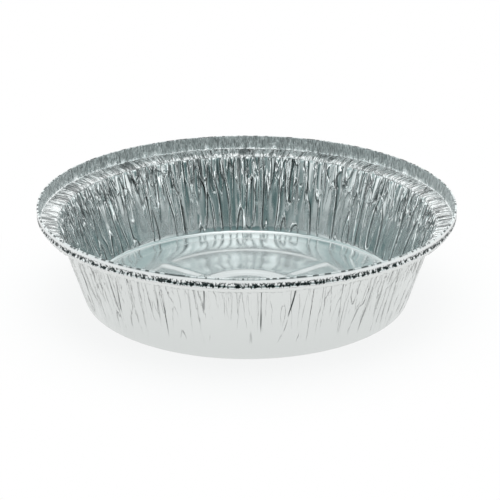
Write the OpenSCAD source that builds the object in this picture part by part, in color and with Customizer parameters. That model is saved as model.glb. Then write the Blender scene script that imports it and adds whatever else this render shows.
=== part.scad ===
// Round foil pie tin, drawn from one blank of thin aluminium: an embossed floor, a pleated
// sloping wall, a ledge for a board lid, an upright flange and an edge folded over outwards.
// Millimetres. The origin is on the table, under the middle of the floor.

/* [Sheet] */
// Thickness of the foil
foil_t = 0.1; // [0.08:0.01:0.3]

/* [Overall] */
// Diameter over the folded edge
rim_d = 230; // [224:1:250]
// Height of the rim above the table
rim_h = 55.2; // [40:0.2:75]
// Diameter of the flat floor, up to the bend into the wall
floor_d = 176.6; // [170:0.2:184]
// Radius of the bend between floor and wall
foot_bend = 2.5; // [1:0.1:4]

/* [Emboss] */
// Height of the raised ribs
emboss_h = 1.1; // [0.4:0.1:2]
// Width of the slope on each side of a rib
slope_w = 4.4; // [2.5:0.1:5]
// Radius of the flat disc inside the hub rib
disc_r = 23; // [16:0.5:24]
// Radius at which the hub rib ends and the panels begin
panel_in_r = 35; // [34.5:0.5:40]
// Radius at which the panels end and the raised band begins
panel_out_r = 58; // [50:0.5:62]
// Radius at which the raised band ends and the flat foot ring begins
band_out_r = 80.5; // [76:0.5:83]
// Angle of each spoke from the pattern's axis, which is Y
spoke_a = 49.5; // [40:0.5:55]

/* [Pleats] */
// Number of pleats round the wall
pleats = 80; // [60:1:96]
// Depth of the deepest pleat
pleat_depth = 1.4; // [0.3:0.1:1.6]
// Width of a pleat at the top of the wall
pleat_w = 3.4; // [1.5:0.1:3.6]
// Depth of the pleats where they cross on to the ledge, against the wall's
ledge_share = 0.55; // [0:0.05:1]
// Most that a pleat slants between the foot and the top of the wall, in degrees
pleat_slant = 0.7; // [0:0.1:1]
// Share of the wall's height over which a pleat grows to its full depth
pleat_growth = 0.35; // [0.2:0.05:0.5]

/* [Ledge] */
// Width of the ledge, from the top of the wall to the flange
ledge_w = 9.1; // [7:0.1:14]
// Rise of the ledge from its inner to its outer edge
ledge_rise = 1.4; // [0:0.1:3]
// Radius of the bend between wall and ledge
ledge_bend = 1.2; // [0.6:0.1:2]

/* [Rim] */
// Height of the upright flange above the ledge, with the fold on its top
flange_h = 8.1; // [6.5:0.1:14]
// Radius of the bend between ledge and flange
flange_bend = 0.85; // [0.4:0.05:1.2]
// How much further out the top of the flange stands than its foot
flange_flare = 0.75; // [0:0.05:2]
// Radius of the fold over the top of the rim
fold_r = 0.45; // [0.3:0.05:0.7]
// Height of the edge that is folded down outside the flange
hem_h = 5.4; // [2.5:0.1:6.4]
// How far the folded edge dips towards the flange
hem_dip = 0.25; // [0:0.05:0.3]
// Place of that dip, as a share of the folded edge's height
hem_dip_at = 0.67; // [0.4:0.01:0.75]

/* [Hidden] */

mid = foil_t / 2;
step = 360 / pleats;
floor_r = floor_d / 2;

// Points of the sheet's middle line are [radius, height]
fold_c = [rim_d / 2 - mid - fold_r, rim_h - mid - fold_r];
flange_top = [fold_c[0] - fold_r, fold_c[1]];
flange_foot = [flange_top[0] - flange_flare, rim_h - flange_h + flange_bend];
ledge_out = [flange_foot[0] - flange_bend, rim_h - flange_h];
ledge_in = [flange_foot[0] - ledge_w + ledge_bend, ledge_out[1] - ledge_rise];
wall_top = [flange_foot[0] - ledge_w, ledge_in[1] - ledge_bend];
hem_out_r = fold_c[0] + fold_r;
hem_waist = [hem_out_r - hem_dip, rim_h - hem_h * hem_dip_at];
hem_lip = [hem_out_r, rim_h - hem_h];

// The wall leaves the foot's bend along the tangent that reaches the top of the wall
bend_c = [floor_r, mid + foot_bend];
reach = wall_top - bend_c;
wall_lean = atan2(reach[0], reach[1]) - asin(foot_bend / norm(reach));
function bend_point(a) = bend_c + foot_bend * [sin(a), -cos(a)];
wall_foot = bend_point(90 - wall_lean);
function fold_point(a) = fold_c + fold_r * [cos(a), sin(a)];

// Floor: the radius of each line of the emboss, and whether the rib is up there
floor_lines = [
    [disc_r, 0],
    [disc_r + slope_w, 1],
    [panel_in_r - slope_w, 1],
    [panel_in_r, 0],
    [panel_out_r, 0],
    [panel_out_r + slope_w, 1],
    [band_out_r - slope_w, 1],
    [band_out_r, 0],
    [floor_r, 0]
];
pattern_axis = 90;
spoke_turns = [for (way = [pattern_axis, pattern_axis + 180]) for (s = [-1, 1]) way + s * spoke_a];
spoke_lines = [for (a = spoke_turns) round(a / step)];

// The lines of the wall that carry pleats, as a share of its height, then the ledge's inner edge
wall_shares = [0.1, 0.38, 0.7, 1];
pleat_shares = concat(wall_shares, [1]);

// Turns of the fold over the rim, from its inside to its outside
fold_turns = [135, 90, 45, 0];

// The whole section from the floor's disc to the edge of the foil
section = concat(
    [for (l = floor_lines) [l[0], mid]],
    [bend_point((90 - wall_lean) / 2), wall_foot],
    [for (f = wall_shares) wall_foot + f * (wall_top - wall_foot)],
    [ledge_in, ledge_out, flange_foot, flange_top],
    [for (a = fold_turns) fold_point(a)],
    [hem_waist, hem_lip]
);
last = len(section) - 1;
first_pleated = len(floor_lines) + 2;

function is_floor(k) = k < len(floor_lines);
function is_pleated(k) = k >= first_pleated && k < first_pleated + len(pleat_shares);
function on_spoke(i) = len([for (s = spoke_lines) if (s == i) s]) > 0;
function in_panel(k) = floor_lines[k][0] == panel_in_r || floor_lines[k][0] == panel_out_r;
function is_rib(k, i) = floor_lines[k][1] == 1 || (in_panel(k) && on_spoke(i));
function rise(k, i) = is_floor(k) && is_rib(k, i) ? emboss_h : 0;

// Square to the section, towards the inside of the tin
function square_to(d) = [-d[1], d[0]] / norm(d);
function normal(k) = is_floor(k) ? [0, 1] : square_to(section[min(k + 1, last)] - section[k - 1]);

// Each pleat has its own strength, start on the wall, place in its pitch and slant
least_strength = 0.35;
earliest_start = -0.25;
latest_start = 0.45;
most_shift = 0.16;
strength_seed = 11;
start_seed = 23;
shift_seed = 37;
slant_seed = 41;
strength = rands(least_strength, 1, pleats, strength_seed);
start = rands(earliest_start, latest_start, pleats, start_seed);
shift = rands(-most_shift, most_shift, pleats, shift_seed);
slant = rands(-1, 1, pleats, slant_seed);
least_width_share = 0.5;
function ease(x) = let (c = min(max(x, 0), 1)) c * c * (3 - 2 * c);
function pleat_share(k) = pleat_shares[k - first_pleated];
function swell(k, i) = strength[i] * ease((pleat_share(k) - start[i]) / pleat_growth);
function on_wall(k) = k - first_pleated < len(wall_shares);
function depth(k, i) = pleat_depth * swell(k, i) * (on_wall(k) ? 1 : ledge_share);
function crest_a(k, i) =
    (i + 0.5 + shift[i]) * step + slant[i] * pleat_slant * (pleat_share(k) - 0.5);
function width_share(k, i) = least_width_share + (1 - least_width_share) * swell(k, i);
function half_a(k, i) = asin(pleat_w / 2 / section[k][0]) * width_share(k, i);

// One ring of points round the tin. side is 1 on the inner skin and -1 on the outer one
function turned(p, a) = [p[0] * cos(a), p[0] * sin(a), p[1]];
function plain_ring(k, side) = [for (i = [0:pleats - 1])
    turned(section[k] + side * mid * normal(k) + [0, rise(k, i)], i * step)];
function pleat_push(k, i, j) = j == 0 ? depth(k, i) : 0;
function pleated_ring(k, side) = [for (i = [0:pleats - 1]) for (j = [-1:1])
    turned(
        section[k] + (side * mid + pleat_push(k, i, j)) * normal(k),
        crest_a(k, i) + j * half_a(k, i)
    )];
function ring(k, side) = is_pleated(k) ? pleated_ring(k, side) : plain_ring(k, side);
function ring_size(k) = is_pleated(k) ? 3 * pleats : pleats;

// Index of each ring's first point in its skin, after the one point at the centre
ring_start = [for (k = 0, s = 1; k <= last; s = s + ring_size(k), k = k + 1) s];
skin_size = ring_start[last] + ring_size(last);
function skin(side) = concat(
    [[0, 0, mid + side * mid]],
    [for (k = [0:last]) for (p = ring(k, side)) p]
);

// Triangles between two rings a and b, which have n points, or n against 3 * n
function even_band(a, b, n) = [for (i = [0:n - 1]) let (j = (i + 1) % n)
    for (t = [[a + i, a + j, b + j], [a + i, b + j, b + i]]) t];
function opening_band(a, b, n) = [for (i = [0:n - 1])
    let (j = (i + 1) % n, m = 3 * i, w = (m + 3 * n - 1) % (3 * n))
    for (t = [
        [a + i, b + m, b + w],
        [a + i, b + m + 1, b + m],
        [a + i, a + j, b + m + 1],
        [a + j, b + m + 2, b + m + 1]
    ]) t];
function closing_band(a, b, n) = [for (i = [0:n - 1])
    let (j = (i + 1) % n, m = 3 * i, w = (m + 3 * n - 1) % (3 * n))
    for (t = [
        [a + w, a + m, b + i],
        [a + m, a + m + 1, b + i],
        [a + m + 1, b + j, b + i],
        [a + m + 1, a + m + 2, b + j]
    ]) t];
function band(k) = let (a = ring_start[k], b = ring_start[k + 1])
    ring_size(k) == ring_size(k + 1) ? even_band(a, b, ring_size(k))
    : ring_size(k) < ring_size(k + 1) ? opening_band(a, b, pleats)
    : closing_band(a, b, pleats);

centre_fan = [for (i = [0:pleats - 1]) [0, ring_start[0] + (i + 1) % pleats, ring_start[0] + i]];
inner_faces = concat(centre_fan, [for (k = [0:last - 1]) for (t = band(k)) t]);
outer_faces = [for (t = inner_faces) [t[2], t[1], t[0]] + skin_size * [1, 1, 1]];
cut_edge = even_band(ring_start[last], ring_start[last] + skin_size, pleats);

// The drawn sheet, as an inner and an outer skin that meet at the cut edge of the foil
module pie_tin() {
    color("silver")
        polyhedron(
            points = concat(skin(1), skin(-1)),
            faces = concat(inner_faces, outer_faces, cut_edge),
            convexity = 12
        );
}

pie_tin();
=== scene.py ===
import math

import bmesh
import bpy
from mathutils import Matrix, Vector, noise
from mathutils.bvhtree import BVHTree


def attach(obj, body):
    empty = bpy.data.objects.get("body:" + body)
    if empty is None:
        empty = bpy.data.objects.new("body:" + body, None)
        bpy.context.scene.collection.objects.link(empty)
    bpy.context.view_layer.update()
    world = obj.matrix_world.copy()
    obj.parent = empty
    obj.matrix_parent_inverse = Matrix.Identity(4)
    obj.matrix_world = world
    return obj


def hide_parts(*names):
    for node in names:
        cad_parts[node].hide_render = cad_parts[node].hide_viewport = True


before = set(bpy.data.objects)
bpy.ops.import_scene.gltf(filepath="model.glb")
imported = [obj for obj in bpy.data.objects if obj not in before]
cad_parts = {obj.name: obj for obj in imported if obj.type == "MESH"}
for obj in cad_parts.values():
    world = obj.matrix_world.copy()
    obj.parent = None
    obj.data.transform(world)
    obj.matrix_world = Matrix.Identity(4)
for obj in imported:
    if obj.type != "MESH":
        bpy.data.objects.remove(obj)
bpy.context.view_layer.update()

scene = bpy.context.scene
scene.view_settings.view_transform = "Standard"

# Camera. A long lens, a little above the tin and well back from it, as for a shop picture.
# The tin's pattern faces a touch to one side, so the camera stands just off its axis.
view_distance = 0.8625
view_height_angle = math.radians(21.82)
view_turn = math.radians(1.3)
view_target = Vector((0, 0, 0.023))
level_distance = view_distance * math.cos(view_height_angle)
lens = bpy.data.cameras.new("lens")
lens.sensor_width = 36
lens.lens = 111.3
lens.shift_x = 0.0066
lens.shift_y = 0.005
lens.clip_start = 0.05
lens.clip_end = 20
camera = bpy.data.objects.new("camera", lens)
camera.location = view_target + Vector((
    -level_distance * math.sin(view_turn),
    -level_distance * math.cos(view_turn),
    view_distance * math.sin(view_height_angle),
))
camera.rotation_euler = (view_target - camera.location).to_track_quat("-Z", "Y").to_euler()
scene.collection.objects.link(camera)
scene.camera = camera

# Floor. A wide sheet of white board that the tin stands on.
# Far from the tin it is plain white to the eye, and near it the board keeps the tin's shadow.
floor_half = 4.0
board_colour = (0.93, 0.93, 0.93, 1)
white = (1, 1, 1, 1)
shadow_r = 0.09
plain_r = 0.17
least_glow = 0.82
floor_mesh = bpy.data.meshes.new("floor")
floor_bm = bmesh.new()
bmesh.ops.create_grid(floor_bm, x_segments=1, y_segments=1, size=floor_half)
floor_bm.to_mesh(floor_mesh)
floor_bm.free()
floor = bpy.data.objects.new("floor", floor_mesh)
scene.collection.objects.link(floor)


def wire(tree, node, wires):
    """Gives each input its value, or links it to the socket given for it."""
    for name, source in wires.items():
        if isinstance(source, bpy.types.NodeSocket):
            tree.links.new(source, node.inputs[name])
        else:
            node.inputs[name].default_value = source


def add_node(tree, kind, wires, **settings):
    """Adds a node, with its settings and its inputs."""
    node = tree.nodes.new(kind)
    for setting, value in settings.items():
        setattr(node, setting, value)
    wire(tree, node, wires)
    return node


def maths(tree, operation, *values):
    """One sum of values or sockets."""
    wires = dict(enumerate(values))
    return add_node(tree, "ShaderNodeMath", wires, operation=operation).outputs[0]


def vector_maths(tree, operation, *values):
    """One sum of vectors. It gives a vector, or for a length a value."""
    wires = dict(enumerate(values))
    node = add_node(tree, "ShaderNodeVectorMath", wires, operation=operation)
    return node.outputs["Value" if operation == "LENGTH" else "Vector"]


def ramp(tree, value, low, high, start=0.0, end=1.0, eased=False):
    """Goes from start to end while the value goes from low to high, and holds outside them."""
    wires = {"Value": value, "From Min": low, "From Max": high, "To Min": start, "To Max": end}
    kind = "SMOOTHSTEP" if eased else "LINEAR"
    return add_node(tree, "ShaderNodeMapRange", wires, interpolation_type=kind).outputs["Result"]


def seen_itself(tree):
    """1 where the eye sees a thing itself, or sees it in metal or through glass."""
    path = add_node(tree, "ShaderNodeLightPath", {}).outputs
    mirrored = maths(tree, "MAXIMUM", path["Is Camera Ray"], path["Is Glossy Ray"])
    return maths(tree, "MAXIMUM", mirrored, path["Is Transmission Ray"])


def white_board():
    """Matt white paint that glows white where it is seen away from the tin."""
    board = bpy.data.materials.new("white_board")
    board.use_nodes = True
    tree = board.node_tree
    tree.nodes.clear()
    place = add_node(tree, "ShaderNodeTexCoord", {}).outputs["Object"]
    from_tin = vector_maths(tree, "LENGTH", place)
    glow_share = ramp(tree, from_tin, shadow_r, plain_r, least_glow, 1.0, eased=True)
    paint = add_node(tree, "ShaderNodeBsdfDiffuse", {"Color": board_colour})
    glow = add_node(tree, "ShaderNodeEmission", {"Color": white, "Strength": 1.0})
    share = maths(tree, "MULTIPLY", seen_itself(tree), glow_share)
    wires = {"Fac": share, 1: paint.outputs[0], 2: glow.outputs[0]}
    mixed = add_node(tree, "ShaderNodeMixShader", wires)
    add_node(tree, "ShaderNodeOutputMaterial", {"Surface": mixed.outputs[0]})
    return board


floor_mesh.materials.append(white_board())

# Studio light. A plain sky, a soft box above and a big tent of white cloth that the foil mirrors.
# The cloth is brightest high in front, low behind and low at the sides, duller high at the
# sides, and dark low in front, where the camera looks in.
sky_light = 0.75
sky = bpy.data.worlds.new("sky")
sky.use_nodes = True
scene.world = sky
sky_tree = sky.node_tree
sky_tree.nodes.clear()
sky_lit = add_node(sky_tree, "ShaderNodeBackground", {"Color": white, "Strength": sky_light})
sky_white = add_node(sky_tree, "ShaderNodeBackground", {"Color": white, "Strength": 1.0})
sky_wires = {"Fac": seen_itself(sky_tree), 1: sky_lit.outputs[0], 2: sky_white.outputs[0]}
sky_mix = add_node(sky_tree, "ShaderNodeMixShader", sky_wires)
add_node(sky_tree, "ShaderNodeOutputWorld", {"Surface": sky_mix.outputs[0]})

soft_box_light = bpy.data.lights.new("soft_box", "AREA")
soft_box_light.shape = "SQUARE"
soft_box_light.size = 1.3
soft_box_light.energy = 4.0
soft_box = bpy.data.objects.new("soft_box", soft_box_light)
soft_box.location = (0, 0, 1.5)
soft_box.visible_glossy = False
scene.collection.objects.link(soft_box)

tent_radius = 2.6
tent_rows = 18
tent_steps = 48
seam_gap = 0.001
tent_mesh = bpy.data.meshes.new("tent")
tent_bm = bmesh.new()
tent_arc = [
    tent_bm.verts.new((
        tent_radius * math.cos(math.pi / 2 * row / tent_rows),
        0,
        tent_radius * math.sin(math.pi / 2 * row / tent_rows),
    ))
    for row in range(tent_rows + 1)
]
tent_edges = [tent_bm.edges.new(pair) for pair in zip(tent_arc, tent_arc[1:])]
bmesh.ops.spin(
    tent_bm, geom=[*tent_arc, *tent_edges], cent=(0, 0, 0), axis=(0, 0, 1),
    angle=2 * math.pi, steps=tent_steps, use_merge=True, use_duplicate=False,
)
bmesh.ops.remove_doubles(tent_bm, verts=tent_bm.verts, dist=seam_gap)
tent_bm.to_mesh(tent_mesh)
tent_bm.free()
tent = bpy.data.objects.new("tent", tent_mesh)
tent.visible_camera = False
scene.collection.objects.link(tent)


def blend(tree, share, first, second):
    """Mixes two colours: the first where the share is 0, and the second where it is 1."""
    wires = {"Factor": share, "A": first, "B": second}
    return add_node(tree, "ShaderNodeMix", wires, data_type="RGBA").outputs["Result"]


def cloth_tones(tree, up, stops, cool_dark, cool_bright):
    """Brightness of the cloth from the floor (0) to the top (1). Its dark parts are cooler."""
    tones = add_node(tree, "ShaderNodeValToRGB", {"Fac": up})
    line = tones.color_ramp
    line.elements[0].position = stops[0][0]
    line.elements[1].position = stops[-1][0]
    for height, tone in stops[1:-1]:
        line.elements.new(height)
    for stop, (height, tone) in zip(line.elements, stops):
        cool = cool_dark - (cool_dark - cool_bright) * min(1.0, tone)
        stop.color = (tone * (1 - cool), tone, tone, 1)
    return tones.outputs["Color"]


def tent_cloth():
    """Lit cloth. Each stop is a height, as a share of the tent's radius, and how bright it is there."""
    front_stops = ((0.05, 0.14), (0.26, 0.18), (0.57, 0.34), (0.73, 1.25), (0.86, 1.55), (1.0, 1.1))
    side_stops = ((0.0, 1.2), (0.3, 1.3), (0.5, 0.7), (0.75, 0.7), (0.88, 0.48), (1.0, 0.95))
    back_stops = ((0.0, 0.90), (0.34, 1.5), (0.55, 1.0), (0.67, 0.82), (0.78, 1.1), (1.0, 1.1))
    most_cool = 0.45
    least_cool = 0.03
    back_starts = 0.2
    cloth = bpy.data.materials.new("tent_cloth")
    cloth.use_nodes = True
    tree = cloth.node_tree
    tree.nodes.clear()
    place = add_node(tree, "ShaderNodeTexCoord", {}).outputs["Object"]
    way = vector_maths(tree, "NORMALIZE", place)
    up = add_node(tree, "ShaderNodeSeparateXYZ", {0: way}).outputs["Z"]
    level = vector_maths(tree, "MULTIPLY", place, (1, 1, 0))
    level_way = vector_maths(tree, "NORMALIZE", level)
    back = add_node(tree, "ShaderNodeSeparateXYZ", {0: level_way}).outputs["Y"]
    front_tone = cloth_tones(tree, up, front_stops, most_cool, least_cool)
    side_tone = cloth_tones(tree, up, side_stops, most_cool, least_cool)
    back_tone = cloth_tones(tree, up, back_stops, least_cool, least_cool)
    before = blend(tree, ramp(tree, back, 0.0, -1.0), side_tone, front_tone)
    behind_share = ramp(tree, back, back_starts, 1.0, eased=True)
    tone = blend(tree, behind_share, before, back_tone)
    glow = add_node(tree, "ShaderNodeEmission", {"Color": tone, "Strength": 1.0})
    add_node(tree, "ShaderNodeOutputMaterial", {"Surface": glow.outputs[0]})
    return cloth


tent_mesh.materials.append(tent_cloth())

# Pressed foil sheet. One round blank of thin aluminium, drawn between two dies in one stroke.
# The floor is stretched tight over its ribs, and the wall and ledge pucker because the blank
# is too wide for them. The edge is folded over outwards so that nobody is cut by it.
MM = 0.001
foil_t = 0.1
disc_r = 23.0
slope_w = 4.4
panel_in_r = 35.0
panel_out_r = 58.0
band_out_r = 80.5
emboss_h = 1.1
floor_r = 88.3
foot_bend = 2.5
wall_top = (104.2, 44.5)
ledge_in = (105.4, 45.7)
ledge_out = (112.45, 47.1)
flange_foot = (113.3, 47.95)
flange_top = (113.75, 54.7)


def between(first, second, shares):
    """Points on a straight line, at the given shares of its length."""
    return [
        (first[0] + (second[0] - first[0]) * share, first[1] + (second[1] - first[1]) * share)
        for share in shares
    ]


# The section is a list of [radius, height] in mm, from the middle of the floor to the cut edge
base = foil_t / 2
floor_radii = (
    0, 11, 20, 23, 25.2, 27.4, 30.6, 32.8, 35, 43, 51,
    58, 60.2, 62.4, 69, 76.1, 78.3, 80.5, floor_r,
)
floor_line = [(r, base) for r in floor_radii]
bend_centre = (floor_r, base + foot_bend)
to_top = (wall_top[0] - bend_centre[0], wall_top[1] - bend_centre[1])
wall_lean = math.atan2(to_top[0], to_top[1]) - math.asin(foot_bend / math.hypot(*to_top))
foot_arc = []
for part in (1, 2, 3):
    bend = (math.pi / 2 - wall_lean) * part / 3
    foot_arc.append((
        bend_centre[0] + foot_bend * math.sin(bend),
        bend_centre[1] - foot_bend * math.cos(bend),
    ))
wall_foot = foot_arc[-1]
wall_shares = [
    0.0, 0.06, 0.13, 0.2, 0.27, 0.34, 0.41, 0.48, 0.55, 0.6, 0.645,
    0.69, 0.735, 0.78, 0.825, 0.865, 0.9, 0.93, 0.96, 1.0,
]
wall_line = between(wall_foot, wall_top, wall_shares)[1:]
ledge_arc = [
    (wall_top[0] + 0.22, wall_top[1] + 0.6),
    (wall_top[0] + 0.62, wall_top[1] + 1.0),
    ledge_in,
]
ledge_line = between(ledge_in, ledge_out, (0.3, 0.6, 0.85))
flange_arc = [ledge_out, (ledge_out[0] + 0.55, ledge_out[1] + 0.25), flange_foot]
flange_line = between(flange_foot, flange_top, (0.33, 0.66, 1.0))
fold_line = [(113.9, 55.02), (114.2, 55.15), (114.5, 55.1), (114.7, 54.88)]
bead_line = [(114.78, 54.5), (114.8, 54.1), (114.8, 53.5), (114.76, 52.8)]
crimp_line = [(114.62, 52.4), (114.15, 51.7), (114.3, 51.0)]
lip_line = [(114.78, 50.5), (114.72, 50.05), (114.3, 49.6)]
section = (
    floor_line + foot_arc + wall_line + ledge_arc + ledge_line
    + flange_arc + flange_line + fold_line + bead_line + crimp_line + lip_line
)
floor_rows = len(floor_line)
wall_first = floor_rows + len(foot_arc) - 1
wall_last = wall_first + len(wall_line)
ledge_first = wall_last + len(ledge_arc)
ledge_last = ledge_first + len(ledge_line) + 1
flange_first = ledge_last + 2
flange_last = flange_first + len(flange_line)
bead_first = flange_last + len(fold_line) + 1
crimp_first = bead_first + len(bead_line)
lip_first = crimp_first + len(crimp_line)

# The sheet is spun from its section in mm, with more steps round the wall than round the floor
sectors = 20
sector_steps = 46
floor_sector_steps = 12
weld_gap = 0.001
sheet_bm = bmesh.new()
row_mark = sheet_bm.verts.layers.int.new("row")


def spun(first, last, steps):
    """Spins rows first to last of the section through one sector, then copies it right round."""
    line = []
    for row in range(first, last + 1):
        vert = sheet_bm.verts.new((section[row][0], 0, section[row][1]))
        vert[row_mark] = row
        line.append(vert)
    line_edges = [sheet_bm.edges.new(pair) for pair in zip(line, line[1:])]
    old = set(sheet_bm.verts)
    bmesh.ops.spin(
        sheet_bm, geom=[*line, *line_edges], cent=(0, 0, 0), axis=(0, 0, 1),
        angle=2 * math.pi / sectors, steps=steps, use_merge=False, use_duplicate=False,
    )
    new = [v for v in sheet_bm.verts if v not in old] + line
    edges = dict.fromkeys(e for v in new for e in v.link_edges)
    faces = dict.fromkeys(f for v in new for f in v.link_faces)
    bmesh.ops.spin(
        sheet_bm, geom=[*new, *edges, *faces],
        cent=(0, 0, 0), axis=(0, 0, 1), angle=2 * math.pi * (1 - 1 / sectors),
        steps=sectors - 1, use_merge=False, use_duplicate=True,
    )


spun(0, floor_rows - 1, floor_sector_steps)
spun(floor_rows, len(section) - 1, sector_steps)
bmesh.ops.remove_doubles(sheet_bm, verts=sheet_bm.verts, dist=weld_gap)
seam = [
    edge for edge in sheet_bm.edges
    if edge.is_boundary and {v[row_mark] for v in edge.verts} & {floor_rows - 1, floor_rows}
]
bmesh.ops.bridge_loops(sheet_bm, edges=seam)


def smooth(value):
    """Eases from 0 to 1."""
    held = min(max(value, 0.0), 1.0)
    return held * held * (3 - 2 * held)


# The turns of the spokes, and half the width of one, in degrees from the pattern's axis
spoke_at = (49.5, 130.5, -49.5, -130.5)
spoke_half = 4.5


def emboss(r, turn):
    """Height of the ribs pressed into the floor: a hub, four spokes and a band."""
    hub = smooth((r - disc_r) / slope_w) * smooth((panel_in_r - r) / slope_w)
    band = smooth((r - panel_out_r) / slope_w) * smooth((band_out_r - r) / slope_w)
    spokes = 0.0
    if disc_r + slope_w < r < band_out_r - slope_w:
        from_y = math.degrees(math.atan2(math.cos(turn), math.sin(turn)))
        nearest = min(abs(from_y - a) for a in spoke_at)
        spokes = smooth(1 - nearest / spoke_half)
    return emboss_h * (1 - (1 - hub) * (1 - band) * (1 - spokes))


def side(row):
    """Square to the section at a row, towards the inside of the tin."""
    if row < floor_rows:
        return (0.0, 1.0)
    before = section[row - 1]
    after = section[min(row + 1, len(section) - 1)]
    across = (after[0] - before[0], after[1] - before[1])
    length = math.hypot(*across)
    return (-across[1] / length, across[0] / length)


sides = [side(row) for row in range(len(section))]
wall_length = math.hypot(wall_top[0] - wall_foot[0], wall_top[1] - wall_foot[1])
mid_wall_r = 98
nudge = 0.02
least_slope = 0.02


def from_line(x, y, share, around, down, seed):
    """Signed distance in mm from the nearest line of a net of lens shapes.

    The net has more lines round the tin where around is higher. Its shapes are drawn out down
    the wall, the more so where down is lower.
    """
    here = noise.noise((around * x, around * y, down * share + seed))
    aside = (around * (x - nudge * y), around * (y + nudge * x), down * share + seed)
    higher = (around * x, around * y, down * (share + nudge) + seed)
    slope_round = (noise.noise(aside) - here) / (nudge * mid_wall_r)
    slope_up = (noise.noise(higher) - here) / (nudge * wall_length)
    return here / max(math.hypot(slope_round, slope_up), least_slope)


def fold(distance, half_width):
    """Round-topped fold, 1 on its line and 0 at half_width from it."""
    return smooth(1 - abs(distance) / half_width)


solid_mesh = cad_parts["pie_tin"].data
solid_faces = BVHTree.FromPolygons(
    [v.co for v in solid_mesh.vertices], [f.vertices for f in solid_mesh.polygons],
)
stand_off = 3.0
pleat_samples = ((-0.011, 0.3), (0.0, 0.4), (0.011, 0.3))


def pleat(turn, row, spread):
    """How far the solid's pleats stand in from the plain cone here.

    It is eased over a few samples to each side, and over spread mm up and down.
    """
    in_r, in_z = sides[row]
    total = 0.0
    for turned, weight in pleat_samples:
        x = math.cos(turn + turned)
        y = math.sin(turn + turned)
        inward = Vector((in_r * x, in_r * y, in_z))
        for climb in (-spread, spread):
            r = section[row][0] + climb * in_z
            z = section[row][1] - climb * in_r
            start = Vector((r * x, r * y, z)) - stand_off * inward
            distance = solid_faces.ray_cast(start * MM, inward)[3]
            if distance is not None:
                total += weight / 2 * (distance / MM + foil_t / 2 - stand_off)
    return total


long_fold_h = 0.55
more_fold_h = 0.35
fine_fold_h = 0.3
wide_half = 1.0
narrow_half = 0.9
folds_from = -0.02
folds_rise = 0.22
fine_from = 0.5
fine_rise = 0.4
patch_contrast = 1.5


def puckers(x, y, share):
    """How far the wall's folds stand in, and the distance from the nearest fold of each kind.

    What is added to x or y only keeps two nets of lines from matching.
    """
    foot = smooth((share - folds_from) / folds_rise)
    high = smooth((share - fine_from) / fine_rise)
    patchy = smooth(0.5 + patch_contrast * noise.noise((9 * x, 9 * y, 2 * share + 30)))
    long_line = from_line(x, y, share, around=20, down=1.0, seed=5)
    more_line = from_line(x + 3, y, share, around=30, down=1.6, seed=9)
    fine_line = from_line(x, y + 7, share, around=40, down=2.6, seed=0)
    crossing = from_line(x, y, share, around=30, down=2.4, seed=2)
    most = more_fold_h * max(patchy, high)
    deep = long_fold_h * fold(long_line, wide_half) + most * fold(more_line, wide_half)
    fine = fine_fold_h * fold(fine_line, narrow_half) + fine_fold_h * fold(crossing, narrow_half)
    return foot * deep + high * fine, (long_line, more_line, fine_line, crossing)


far_off = 5.0
strong_crease_h = 0.5
strong_spread = 1.5
fine_crease_h = 0.6
finest_crease_h = 0.4


def creases(x, y, share):
    """How far the ledge's wrinkles stand up, from its inner edge (0) to its outer one (1).

    It gives their distances too, in the order of the wall's.
    """
    fine = noise.noise((50 * x, 50 * y, 1.0 * share + 3))
    finer = noise.noise((95 * x, 95 * y, 1.6 * share + 12))
    strong_line = from_line(x + 4, y, 0.25 * share, around=17, down=0.7, seed=8)
    fine_line = from_line(x, y + 9, 0.3 * share, around=55, down=3.0, seed=3)
    strong = strong_crease_h * fold(strong_line, wide_half) * (1 - 0.5 * share)
    push = fine_crease_h * fine + finest_crease_h * finer - strong
    return push, (strong_spread * strong_line, far_off, fine_line, far_off)


fine_flute_h = 0.15
finest_flute_h = 0.35


def knurl(x, y, share):
    """Small upright flutes that the die leaves in the flange."""
    fine = noise.noise((50 * x, 50 * y + 2, 0.8 * share))
    finer = noise.noise((85 * x, 85 * y + 6, 1.1 * share))
    return fine_flute_h * fine + finest_flute_h * finer


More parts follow.
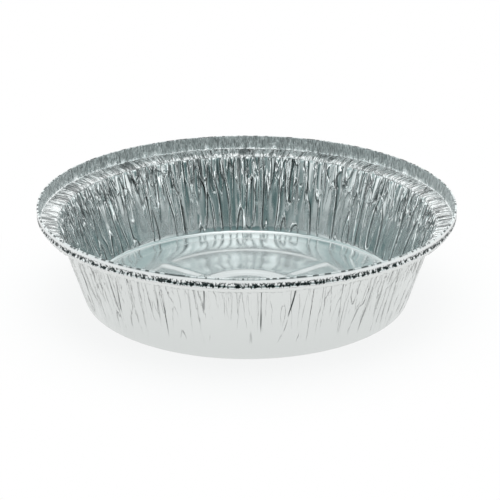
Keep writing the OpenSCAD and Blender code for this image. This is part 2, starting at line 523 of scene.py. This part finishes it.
# Every row of the spun sheet is pushed to its drawn shape, and the sheet is brought to metres
floor_wave_h = 0.06
floor_wave_size = 18
floor_wave_end_r = 84
floor_wave_fade = 6
pleat_ease = 4.5
pleat_growth = 0.42
ledge_fold_share = 0.7
corner_wave_h = 0.4
top_sink = 0.25
crimp_pinch = 0.45
crimp_contrast = 3
lip_wave_h = 0.3
fold_marks = [
    sheet_bm.verts.layers.float.new(name)
    for name in ("fold", "more_folds", "wrinkle", "cross_wrinkle")
]
for vert in sheet_bm.verts:
    row = vert[row_mark]
    r, z = section[row]
    turn = math.atan2(vert.co.y, vert.co.x)
    x = math.cos(turn)
    y = math.sin(turn)
    push = 0.0
    distances = (far_off, far_off, far_off, far_off)
    if row < floor_rows:
        wave = noise.noise((r * x / floor_wave_size, r * y / floor_wave_size, 6))
        wave_share = smooth((floor_wave_end_r - r) / floor_wave_fade)
        z += emboss(r, turn) + floor_wave_h * (1 + wave) * wave_share
    elif row < wall_first:
        # The foot's bend is left as plain as it was spun
        pass
    elif row <= wall_last:
        share = wall_shares[row - wall_first]
        push, distances = puckers(x, y, share)
        spread = pleat_ease * smooth(4 * min(share, 1 - share))
        push += pleat(turn, row, spread) * smooth(share / pleat_growth)
    elif row <= ledge_last:
        share = (row - wall_last) / (ledge_last - wall_last)
        push, distances = creases(x, y, share)
        wall_folds = puckers(x, y, 1.0)[0] * ledge_fold_share * (1 - share) ** 2
        push += wall_folds + pleat(turn, row, 0.0)
    elif row <= flange_last:
        share = (row - ledge_last) / (flange_last - ledge_last)
        push = knurl(x, y, share) * min(1.0, 4 * share, 4 * (1 - share))
        if row < flange_first:
            z += corner_wave_h * noise.noise((70 * x, 70 * y, 15))
    elif row < bead_first:
        z -= top_sink * max(0.0, noise.noise((60 * x, 60 * y, 21)))
    elif row >= crimp_first - 1:
        bite = crimp_contrast * noise.noise((60 * x, 60 * y, 11))
        closed = smooth(0.5 + bite + noise.noise((20 * x, 20 * y, 4)))
        if row < lip_first:
            r += crimp_pinch * closed * (section[crimp_first - 1][0] - r)
        z += lip_wave_h * noise.noise((45 * x, 45 * y, 0.4 * row))
    r += push * sides[row][0]
    z += push * sides[row][1]
    vert.co = Vector((r * x, r * y, z)) * MM
    for mark, distance in zip(fold_marks, distances):
        vert[mark] = max(-far_off, min(far_off, distance))

bmesh.ops.recalc_face_normals(sheet_bm, faces=sheet_bm.faces)
for face in sheet_bm.faces:
    face.smooth = True
sheet_mesh = bpy.data.meshes.new("foil_sheet")
sheet_bm.to_mesh(sheet_mesh)
sheet_bm.free()
sheet = bpy.data.objects.new("foil_sheet", sheet_mesh)
scene.collection.objects.link(sheet)
gauge = sheet.modifiers.new("gauge", "SOLIDIFY")
gauge.thickness = foil_t * MM
gauge.offset = 0
gauge.material_offset = 1
gauge.material_offset_rim = 1

# The finish is worked out in metres. Heights are above the table and reaches from the tin's axis
# The near-black colour below is painted wherever shade is painted: in the creases, crimps, dashes and
# pits, and on the fold flanks.
painted_shade_metal = (0.02, 0.03, 0.03, 1)
pale_metal = (0.98, 0.98, 0.98, 1)
wall_colour = (0.74, 0.77, 0.77, 1)
flange_colour = (0.76, 0.79, 0.79, 1)


def speckle(tree, place, scale, detail, roughness=0.5):
    """Cloudy noise, mostly between 0.3 and 0.7."""
    wires = {"Vector": place, "Scale": scale, "Detail": detail, "Roughness": roughness}
    return add_node(tree, "ShaderNodeTexNoise", wires).outputs["Fac"]


def pressed(tree, height, depth, below):
    """Presses a height of 0 to 1 into the foil, on top of what is pressed in already."""
    wires = {"Height": height, "Distance": depth, "Strength": 1.0}
    if below:
        wires["Normal"] = below
    return add_node(tree, "ShaderNodeBump", wires).outputs["Normal"]


def dented(tree, noise_value, share, depth, below):
    """Presses noise in where the share is above 0, up and down from the middle."""
    middle = maths(tree, "SUBTRACT", noise_value, 0.5)
    return pressed(tree, maths(tree, "MULTIPLY", middle, share), depth, below)


def away_from(tree, value, middle):
    """How far a value is from a middle, to either side."""
    return maths(tree, "ABSOLUTE", maths(tree, "SUBTRACT", value, middle))


def sheet_places(tree):
    """Places on the sheet: height, reach, way round, and way round drawn out down the wall."""
    drawn_out = 1.6
    place = add_node(tree, "ShaderNodeTexCoord", {}).outputs["Object"]
    height = add_node(tree, "ShaderNodeSeparateXYZ", {0: place}).outputs["Z"]
    level = vector_maths(tree, "MULTIPLY", place, (1, 1, 0))
    way_round = vector_maths(tree, "NORMALIZE", level)
    drop = maths(tree, "MULTIPLY", height, drawn_out)
    drop_vector = add_node(tree, "ShaderNodeCombineXYZ", {"Z": drop}).outputs[0]
    drawn = vector_maths(tree, "ADD", way_round, drop_vector)
    return height, vector_maths(tree, "LENGTH", level), way_round, drawn


def drawn_hatch(tree, drawn, reach, depth):
    """Fine hatch that the die scores into the wall, very faint on the floor."""
    foot_reach = 0.092
    ledge_reach = 0.106
    floor_share = 0.08
    share = ramp(tree, reach, foot_reach, ledge_reach, floor_share)
    hatch = speckle(tree, drawn, scale=95, detail=3, roughness=0.6)
    return dented(tree, hatch, share, depth, None)


def ledge_wrinkles(tree, way_round, reach, below):
    """Radial wrinkles of the ledge: their normal, their noise and the ledge's own share."""
    inner_edge = (0.1038, 0.105)
    outer_edge = (0.1132, 0.1122)
    drawn_in = 1.4
    depth = 0.0022
    outwards = maths(tree, "MULTIPLY", reach, drawn_in)
    outwards_vector = add_node(tree, "ShaderNodeCombineXYZ", {"Z": outwards}).outputs[0]
    place = vector_maths(tree, "ADD", way_round, outwards_vector)
    wrinkle = speckle(tree, place, scale=65, detail=2, roughness=0.6)
    starts = ramp(tree, reach, *inner_edge)
    on_ledge = maths(tree, "MULTIPLY", starts, ramp(tree, reach, *outer_edge))
    return dented(tree, wrinkle, on_ledge, depth, below), wrinkle, on_ledge


def flange_flutes(tree, drawn, reach, below):
    """Upright flutes on the inside of the flange: their normal, their noise and the flange's share."""
    flange_edge = (0.1130, 0.1133)
    fold_reach = 0.11385
    depth = 0.0028
    flute = speckle(tree, drawn, scale=150, detail=2)
    inner = maths(tree, "LESS_THAN", reach, fold_reach)
    on_flange = maths(tree, "MULTIPLY", ramp(tree, reach, *flange_edge), inner)
    return dented(tree, flute, on_flange, depth, below), flute, on_flange


def marked_folds(tree, height, long_from, long_to):
    """The four kinds of fold: distance from the line, share of full height, half width and depth.

    Each kind grows to its full height between two heights above the table.
    """
    folds = []
    for mark, half_width, depth, low, high in (
        ("fold", 0.9, 0.0012, long_from, long_to),
        ("more_folds", 0.7, 0.0008, 0.012, 0.032),
        ("wrinkle", 0.6, 0.0002, 0.020, 0.036),
        ("cross_wrinkle", 0.6, 0.0002, 0.020, 0.036),
    ):
        distance = add_node(tree, "ShaderNodeAttribute", {}, attribute_name=mark).outputs["Fac"]
        grown = ramp(tree, height, low, high, eased=True)
        folds.append((distance, grown, half_width, depth))
    return folds


def pressed_folds(tree, folds, depth_share, below):
    """Presses the folds in. The long ones, which come first, also step up from one side to the other."""
    step_h = 0.12
    for number, (distance, grown, half_width, depth) in enumerate(folds):
        away = maths(tree, "ABSOLUTE", distance)
        crest = ramp(tree, away, 0.0, half_width, 1.0, 0.0, eased=True)
        raised = maths(tree, "MULTIPLY", crest, grown)
        if number == 0:
            step = ramp(tree, distance, -half_width, half_width, -step_h, step_h, eased=True)
            raised = maths(tree, "ADD", raised, step)
        below = pressed(tree, raised, depth * depth_share, below)
    return below


def fold_top_highlights(tree, folds):
    """Painted highlights on the thin tops of the folds."""
    full_to = 0.35
    none_from = 0.75
    highlight_share = 0.0
    for distance, grown, half_width, depth in folds:
        away = maths(tree, "ABSOLUTE", distance)
        thin = ramp(tree, away, full_to * half_width, none_from * half_width, 1.0, 0.0)
        highlight_share = maths(tree, "MAXIMUM", maths(tree, "MULTIPLY", thin, grown), highlight_share)
    return highlight_share


def fold_flank_shade(tree, folds):
    """Painted shade on one flank of each fold, the flank that is turned from the light."""
    flank_at = 1.1
    full_to = 0.15
    none_from = 0.5
    darkest = 0.72
    shade = 0.0
    for distance, grown, half_width, depth in folds:
        away = away_from(tree, distance, flank_at * half_width)
        flank = ramp(tree, away, full_to, none_from, darkest, 0.0)
        shade = maths(tree, "MAXIMUM", maths(tree, "MULTIPLY", flank, grown), shade)
    return shade


def ledge_edges(tree, reach, wrinkle, highlight_share):
    """Adds painted highlights along the ledge's two edges to those of the fold tops, broken up where the
    wrinkles are low.
    """
    edge_half = 0.0005
    edge_end = 0.0010
    low_wrinkles = (0.44, 0.52)
    for edge_reach in (0.1049, 0.1127):
        lightened = ramp(tree, away_from(tree, reach, edge_reach), edge_half, edge_end, 1.0, 0.0)
        bright = maths(tree, "MULTIPLY", lightened, ramp(tree, wrinkle, *low_wrinkles))
        highlight_share = maths(tree, "MAXIMUM", bright, highlight_share)
    return highlight_share


def painted_crease_shade(tree, height, drawn):
    """Painted shade in the creases: thin dark lines down some of the long folds, on the upper part of
    the wall's outside.
    """
    line_half = 0.2
    line_end = 0.42
    creased_parts = (0.55, 0.62)
    plain_below = 0.010
    creased_above = 0.022
    distance = add_node(tree, "ShaderNodeAttribute", {}, attribute_name="fold").outputs["Fac"]
    line = ramp(tree, maths(tree, "ABSOLUTE", distance), line_half, line_end, 1.0, 0.0)
    some = ramp(tree, speckle(tree, drawn, scale=16, detail=1), *creased_parts)
    high = ramp(tree, height, plain_below, creased_above)
    return maths(tree, "MULTIPLY", maths(tree, "MULTIPLY", line, some), high)


def crimp_shade(tree, height, reach, drawn):
    """Painted shade in ragged dents where the folded edge is crimped, in a band round the outside of the
    rim.
    """
    flattened = (1.3, 1.3, 4)
    raggedness = 0.006
    band_height = 0.0548
    band_half = 0.0011
    band_end = 0.0014
    shaded_parts = (0.44, 0.5)
    fold_reach = 0.1139
    place = vector_maths(tree, "MULTIPLY", drawn, flattened)
    crimp = speckle(tree, place, scale=62, detail=3, roughness=0.7)
    ragged = maths(tree, "MULTIPLY_ADD", crimp, raggedness, height)
    band = ramp(tree, away_from(tree, ragged, band_height), band_half, band_end, 1.0, 0.0)
    broken = maths(tree, "MULTIPLY", band, ramp(tree, crimp, *shaded_parts))
    return maths(tree, "MULTIPLY", broken, maths(tree, "GREATER_THAN", reach, fold_reach))


def top_shade_dashes(tree, height, reach, way_round):
    """Painted shade: thin dark dashes along the top of the fold, where it has buckled."""
    line_reach = 0.1143
    line_half = 0.0004
    line_end = 0.0006
    darkest = 0.9
    top_height = 0.0544
    dashed_parts = (0.49, 0.55)
    line = ramp(tree, away_from(tree, reach, line_reach), line_half, line_end, darkest, 0.0)
    on_top = maths(tree, "MULTIPLY", line, maths(tree, "GREATER_THAN", height, top_height))
    dashes = ramp(tree, speckle(tree, way_round, scale=34, detail=4), *dashed_parts)
    return maths(tree, "MULTIPLY", on_top, dashes)


def hollow_shade(tree, noise_value, shaded_pits, darkest, share):
    """Painted shade in the low parts of a noise, which are its pits, where its share is above 0."""
    return maths(tree, "MULTIPLY", ramp(tree, noise_value, *shaded_pits, darkest, 0.0), share)


def side_shade(tree, wrinkle, on_ledge, height, reach, way_round, drawn):
    """Painted shade that both sides have: in the dents of the rim, and in the pits of the ledge."""
    ledge_pits = (0.38, 0.48)
    ledge_darkest = 0.68
    crimp_shading = crimp_shade(tree, height, reach, drawn)
    rim = maths(tree, "MAXIMUM", crimp_shading, top_shade_dashes(tree, height, reach, way_round))
    shaded_pits = hollow_shade(tree, wrinkle, ledge_pits, ledge_darkest, on_ledge)
    return maths(tree, "MAXIMUM", rim, shaded_pits)


def matt_side():
    """The side that is outside on the wall. It is rolled against another sheet, so it is dull."""
    metal = (0.745, 0.765, 0.755, 1)
    roughness = 0.25
    hatch_depth = 0.00008
    folds_begin = 0.006
    folds_full = 0.024
    depth_share = 0.25
    finish = bpy.data.materials.new("matt_side")
    finish.use_nodes = True
    tree = finish.node_tree
    height, reach, way_round, drawn = sheet_places(tree)
    normal = drawn_hatch(tree, drawn, reach, hatch_depth)
    normal, wrinkle, on_ledge = ledge_wrinkles(tree, way_round, reach, normal)
    folds = marked_folds(tree, height, folds_begin, folds_full)
    normal = pressed_folds(tree, folds, depth_share, normal)
    shade_marks = side_shade(tree, wrinkle, on_ledge, height, reach, way_round, drawn)
    # Painted shade of the creases, crimps, dashes and ledge pits darkens the metal towards near black.
    dark = maths(tree, "MAXIMUM", painted_crease_shade(tree, height, drawn), shade_marks)
    wires = {
        "Metallic": 1.0, "Roughness": roughness, "Normal": normal,
        "Base Color": blend(tree, dark, metal, painted_shade_metal),
    }
    wire(tree, tree.nodes["Principled BSDF"], wires)
    return finish


def bright_metal(tree, height, on_ledge, on_flange, highlight_share):
    """Colour of the bright side: darker on wall and flange, lighter on the ledge, and with painted
    highlights on the fold tops and the ledge's edges.
    """
    metal = (0.80, 0.83, 0.83, 1)
    ledge_lightening = 0.8
    wall_begins = (0.0015, 0.004)
    wall_ends = (0.0455, 0.0435)
    above_foot = ramp(tree, height, *wall_begins)
    on_wall = maths(tree, "MULTIPLY", above_foot, ramp(tree, height, *wall_ends))
    rolled = blend(tree, on_wall, metal, wall_colour)
    # The ledge is made lighter, and the painted highlights of the fold tops and ledge edges go towards
    # the pale metal.
    lightened = maths(tree, "MAXIMUM", maths(tree, "MULTIPLY", on_ledge, ledge_lightening), highlight_share)
    return blend(tree, on_flange, blend(tree, lightened, rolled, pale_metal), flange_colour)


def bright_roughness(tree, height, reach):
    """The bright side is smoothest on the wall, and duller on the floor, the flange and the fold."""
    floor_edge = (0.086, 0.090)
    floor_roughness = 0.2
    wall_roughness = 0.09
    rim_edge = (0.1125, 0.1132)
    rim_roughness = 0.28
    fold_edge = (0.0538, 0.0544)
    fold_roughness = 0.3
    floor_to_wall = ramp(tree, reach, *floor_edge, floor_roughness, wall_roughness)
    on_rim = ramp(tree, reach, *rim_edge, 0.0, rim_roughness)
    on_fold = ramp(tree, height, *fold_edge, 0.0, fold_roughness)
    return maths(tree, "MAXIMUM", maths(tree, "MAXIMUM", floor_to_wall, on_rim), on_fold)


def bright_side():
    """The side that is inside on the wall, and outside on the folded edge. It mirrors the tent."""
    hatch_depth = 0.00003
    folds_begin = 0.0
    folds_full = 0.004
    depth_share = 1.0
    top_lift = 0.36
    flute_low = (0.36, 0.56)
    flute_darkest = 0.42
    finish = bpy.data.materials.new("bright_side")
    finish.use_nodes = True
    tree = finish.node_tree
    height, reach, way_round, drawn = sheet_places(tree)
    normal = drawn_hatch(tree, drawn, reach, hatch_depth)
    normal, wrinkle, on_ledge = ledge_wrinkles(tree, way_round, reach, normal)
    normal, flute, on_flange = flange_flutes(tree, drawn, reach, normal)
    folds = marked_folds(tree, height, folds_begin, folds_full)
    normal = pressed_folds(tree, folds, depth_share, normal)
    highlight_share = ledge_edges(tree, reach, wrinkle, fold_top_highlights(tree, folds))
    lift = maths(tree, "MULTIPLY", highlight_share, top_lift)
    upwards = add_node(tree, "ShaderNodeCombineXYZ", {"Z": lift}).outputs[0]
    lifted = vector_maths(tree, "NORMALIZE", vector_maths(tree, "ADD", normal, upwards))
    # Painted shade in the pits between the flange's flutes.
    flute_shade = hollow_shade(tree, flute, flute_low, flute_darkest, on_flange)
    shade_marks = side_shade(tree, wrinkle, on_ledge, height, reach, way_round, drawn)
    shaded_pits = maths(tree, "MAXIMUM", flute_shade, shade_marks)
    # Painted shade of the fold flanks, flute pits, crimps, dashes and ledge pits darkens the metal
    # towards near black.
    dark = maths(tree, "MAXIMUM", fold_flank_shade(tree, folds), shaded_pits)
    metal = bright_metal(tree, height, on_ledge, on_flange, highlight_share)
    wires = {
        "Metallic": 1.0, "Roughness": bright_roughness(tree, height, reach), "Normal": lifted,
        "Base Color": blend(tree, dark, metal, painted_shade_metal),
    }
    wire(tree, tree.nodes["Principled BSDF"], wires)
    return finish


sheet_mesh.materials.append(bright_side())
sheet_mesh.materials.append(matt_side())
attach(sheet, "root")
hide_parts("pie_tin")
